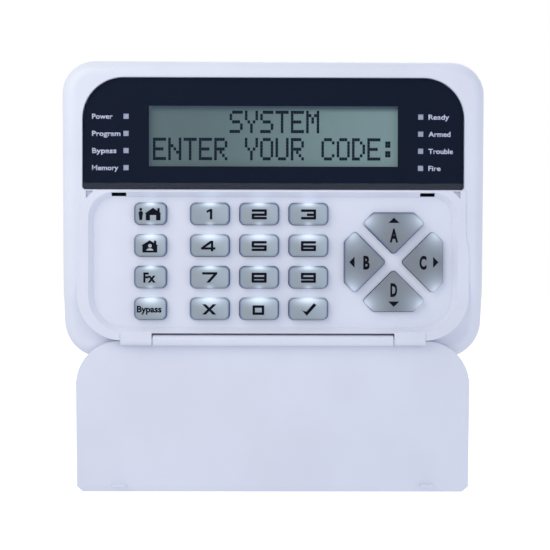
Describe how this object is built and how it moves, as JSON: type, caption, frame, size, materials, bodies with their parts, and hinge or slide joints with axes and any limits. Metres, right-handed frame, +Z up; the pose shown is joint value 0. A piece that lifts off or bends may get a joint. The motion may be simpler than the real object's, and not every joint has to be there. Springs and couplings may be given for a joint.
{
  "type": "alarm keypad panel",
  "caption": "Wall-mounted alarm keypad with a display window, lamp column on each side, rectangular keys, direction keys and a flip-down door hanging open.",
  "frame": {"origin": "centre of the rear cover's back face, on the wall plane", "axes": "+X to the viewer's right, +Z up, -Y out of the wall towards the viewer"},
  "size_m": [0.1682, 0.0291, 0.1721],
  "materials": {
    "housing_plastic": "satin",
    "window_clear": "gloss",
    "window_print": "printed",
    "display_glass": "satin",
    "bezel_steel": "satin black",
    "light_guide": "frosted",
    "black_rubber": "matte",
    "board_green": "solder mask",
    "black_plastic": "moulded",
    "lamp_body": "moulded",
    "terminal_plastic": "moulded",
    "screw_steel": "zinc plated",
    "capacitor_can": "sleeved",
    "plunger_plastic": "moulded",
    "mat_rubber": "matte",
    "key_plastic": "translucent satin"
  },
  "bodies": {
    "housing": {"rear_cover": "housing_plastic", "front_cover": "housing_plastic", "display_window": "window_clear", "window_mask": "window_print", "display_glass": "display_glass", "display_bezel": "bezel_steel", "display_backlight": "light_guide", "display_connector_strips": "black_rubber", "display_gasket": "black_rubber", "display_circuit_board": "board_green", "display_pin_header": "black_plastic", "light_guide_left": "light_guide", "light_guide_right": "light_guide", "status_lamps": "lamp_body", "main_circuit_board": "board_green", "microcontroller": "black_plastic", "terminal_block": "terminal_plastic", "terminal_screws": "screw_steel", "buzzer": "black_plastic", "capacitor": "capacitor_can", "tamper_switch": "black_plastic", "tamper_spring": "screw_steel", "rubber_key_mat": "mat_rubber", "key_contact_pills": "black_rubber", "key_backlights": "lamp_body", "board_screws": "screw_steel", "display_screws": "screw_steel", "case_screws": "screw_steel"},
    "door": {"door": "housing_plastic"},
    "tamper_plunger": {"tamper_plunger": "plunger_plastic"},
    "key_leave_home": {"key_leave_home": "key_plastic"},
    "key_1": {"key_1": "key_plastic"},
    "key_2": {"key_2": "key_plastic"},
    "key_3": {"key_3": "key_plastic"},
    "key_stay_home": {"key_stay_home": "key_plastic"},
    "key_4": {"key_4": "key_plastic"},
    "key_5": {"key_5": "key_plastic"},
    "key_6": {"key_6": "key_plastic"},
    "key_function": {"key_function": "key_plastic"},
    "key_7": {"key_7": "key_plastic"},
    "key_8": {"key_8": "key_plastic"},
    "key_9": {"key_9": "key_plastic"},
    "key_bypass": {"key_bypass": "key_plastic"},
    "key_cross": {"key_cross": "key_plastic"},
    "key_0": {"key_0": "key_plastic"},
    "key_tick": {"key_tick": "key_plastic"},
    "key_a": {"key_a": "key_plastic"},
    "key_b": {"key_b": "key_plastic"},
    "key_c": {"key_c": "key_plastic"},
    "key_d": {"key_d": "key_plastic"}
  },
  "joints": [
    {"name": "door_hinge", "type": "hinge", "parent": "housing", "child": "door", "pos_m": [0, -0.0255, -0.0519], "axis": [-1, 0, 0], "range_deg": [0, 180]},
    {"name": "tamper_press", "type": "slide", "parent": "housing", "child": "tamper_plunger", "axis": [0, -1, 0], "range_m": [0, 0.001], "stiffness_N_per_m": 300, "springref_m": -0.0005, "deforming": ["tamper_spring"]},
    {"name": "key_leave_home_press", "type": "slide", "parent": "housing", "child": "key_leave_home", "axis": [0, 1, 0], "range_m": [0, 0.001], "stiffness_N_per_m": 700, "springref_m": -0.0003, "deforming": ["rubber_key_mat", "key_contact_pills"]},
    {"name": "key_1_press", "type": "slide", "parent": "housing", "child": "key_1", "axis": [0, 1, 0], "range_m": [0, 0.001], "stiffness_N_per_m": 700, "springref_m": -0.0003, "deforming": ["rubber_key_mat", "key_contact_pills"]},
    {"name": "key_2_press", "type": "slide", "parent": "housing", "child": "key_2", "axis": [0, 1, 0], "range_m": [0, 0.001], "stiffness_N_per_m": 700, "springref_m": -0.0003, "deforming": ["rubber_key_mat", "key_contact_pills"]},
    {"name": "key_3_press", "type": "slide", "parent": "housing", "child": "key_3", "axis": [0, 1, 0], "range_m": [0, 0.001], "stiffness_N_per_m": 700, "springref_m": -0.0003, "deforming": ["rubber_key_mat", "key_contact_pills"]},
    {"name": "key_stay_home_press", "type": "slide", "parent": "housing", "child": "key_stay_home", "axis": [0, 1, 0], "range_m": [0, 0.001], "stiffness_N_per_m": 700, "springref_m": -0.0003, "deforming": ["rubber_key_mat", "key_contact_pills"]},
    {"name": "key_4_press", "type": "slide", "parent": "housing", "child": "key_4", "axis": [0, 1, 0], "range_m": [0, 0.001], "stiffness_N_per_m": 700, "springref_m": -0.0003, "deforming": ["rubber_key_mat", "key_contact_pills"]},
    {"name": "key_5_press", "type": "slide", "parent": "housing", "child": "key_5", "axis": [0, 1, 0], "range_m": [0, 0.001], "stiffness_N_per_m": 700, "springref_m": -0.0003, "deforming": ["rubber_key_mat", "key_contact_pills"]},
    {"name": "key_6_press", "type": "slide", "parent": "housing", "child": "key_6", "axis": [0, 1, 0], "range_m": [0, 0.001], "stiffness_N_per_m": 700, "springref_m": -0.0003, "deforming": ["rubber_key_mat", "key_contact_pills"]},
    {"name": "key_function_press", "type": "slide", "parent": "housing", "child": "key_function", "axis": [0, 1, 0], "range_m": [0, 0.001], "stiffness_N_per_m": 700, "springref_m": -0.0003, "deforming": ["rubber_key_mat", "key_contact_pills"]},
    {"name": "key_7_press", "type": "slide", "parent": "housing", "child": "key_7", "axis": [0, 1, 0], "range_m": [0, 0.001], "stiffness_N_per_m": 700, "springref_m": -0.0003, "deforming": ["rubber_key_mat", "key_contact_pills"]},
    {"name": "key_8_press", "type": "slide", "parent": "housing", "child": "key_8", "axis": [0, 1, 0], "range_m": [0, 0.001], "stiffness_N_per_m": 700, "springref_m": -0.0003, "deforming": ["rubber_key_mat", "key_contact_pills"]},
    {"name": "key_9_press", "type": "slide", "parent": "housing", "child": "key_9", "axis": [0, 1, 0], "range_m": [0, 0.001], "stiffness_N_per_m": 700, "springref_m": -0.0003, "deforming": ["rubber_key_mat", "key_contact_pills"]},
    {"name": "key_bypass_press", "type": "slide", "parent": "housing", "child": "key_bypass", "axis": [0, 1, 0], "range_m": [0, 0.001], "stiffness_N_per_m": 700, "springref_m": -0.0003, "deforming": ["rubber_key_mat", "key_contact_pills"]},
    {"name": "key_cross_press", "type": "slide", "parent": "housing", "child": "key_cross", "axis": [0, 1, 0], "range_m": [0, 0.001], "stiffness_N_per_m": 700, "springref_m": -0.0003, "deforming": ["rubber_key_mat", "key_contact_pills"]},
    {"name": "key_0_press", "type": "slide", "parent": "housing", "child": "key_0", "axis": [0, 1, 0], "range_m": [0, 0.001], "stiffness_N_per_m": 700, "springref_m": -0.0003, "deforming": ["rubber_key_mat", "key_contact_pills"]},
    {"name": "key_tick_press", "type": "slide", "parent": "housing", "child": "key_tick", "axis": [0, 1, 0], "range_m": [0, 0.001], "stiffness_N_per_m": 700, "springref_m": -0.0003, "deforming": ["rubber_key_mat", "key_contact_pills"]},
    {"name": "key_a_press", "type": "slide", "parent": "housing", "child": "key_a", "axis": [0, 1, 0], "range_m": [0, 0.001], "stiffness_N_per_m": 700, "springref_m": -0.0003, "deforming": ["rubber_key_mat", "key_contact_pills"]},
    {"name": "key_b_press", "type": "slide", "parent": "housing", "child": "key_b", "axis": [0, 1, 0], "range_m": [0, 0.001], "stiffness_N_per_m": 700, "springref_m": -0.0003, "deforming": ["rubber_key_mat", "key_contact_pills"]},
    {"name": "key_c_press", "type": "slide", "parent": "housing", "child": "key_c", "axis": [0, 1, 0], "range_m": [0, 0.001], "stiffness_N_per_m": 700, "springref_m": -0.0003, "deforming": ["rubber_key_mat", "key_contact_pills"]},
    {"name": "key_d_press", "type": "slide", "parent": "housing", "child": "key_d", "axis": [0, 1, 0], "range_m": [0, 0.001], "stiffness_N_per_m": 700, "springref_m": -0.0003, "deforming": ["rubber_key_mat", "key_contact_pills"]}
  ]
}
